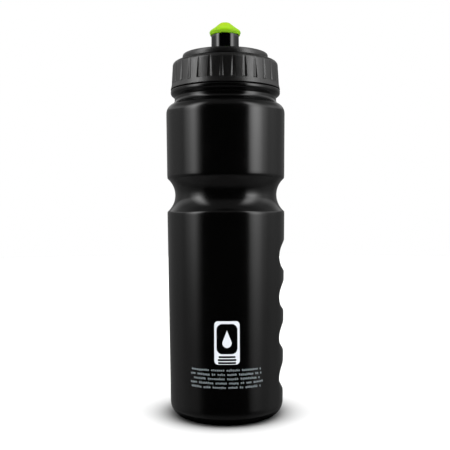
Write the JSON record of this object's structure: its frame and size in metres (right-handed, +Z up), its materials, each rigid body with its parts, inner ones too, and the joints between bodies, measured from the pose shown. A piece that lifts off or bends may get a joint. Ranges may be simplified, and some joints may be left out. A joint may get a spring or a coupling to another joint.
{
  "type": "sports squeeze bottle",
  "caption": "Black squeeze bottle with a waist, finger grips down one side, a notched screw cap and a push-pull nozzle with a soft green tip.",
  "frame": {"origin": "middle of the plane that the bottle stands on, on its axis", "axes": "+Z up along the bottle's axis, the printed front faces -Y, the finger grips are on the +X side"},
  "size_m": [0.074, 0.074, 0.2445],
  "materials": {
    "bottle_black": "semi-gloss blow-moulded low-density polyethylene, black",
    "cap_black": "matte fine-textured moulded plastic, black",
    "seal_grey": "soft grey sealing rubber",
    "sleeve_black": "polished moulded plastic, black",
    "tip_green": "soft lime-green elastomer, satin",
    "print_white": "white pad-printed ink"
  },
  "bodies": {
    "bottle": {"bottle_body": "bottle_black"},
    "seal_ring": {"cap_seal": "seal_grey"},
    "cap": {"screw_cap": "cap_black"},
    "nozzle": {"nozzle_sleeve": "sleeve_black", "mouthpiece": "tip_green"}
  },
  "joints": [
    {"name": "cap_lift", "type": "slide", "parent": "bottle", "child": "seal_ring", "axis": [0, 0, 1], "range_m": [0, 0.015]},
    {"name": "cap_turn", "type": "hinge", "parent": "seal_ring", "child": "cap", "pos_m": [0, 0, 0.21], "axis": [0, 0, 1], "range_deg": [0, 900]},
    {"name": "nozzle_pull", "type": "slide", "parent": "cap", "child": "nozzle", "axis": [0, 0, 1], "range_m": [0, 0.006]}
  ],
  "couplings": [
    {"joint": "cap_lift", "follows": "cap_turn", "m_per_rad": 0.00095492}
  ]
}
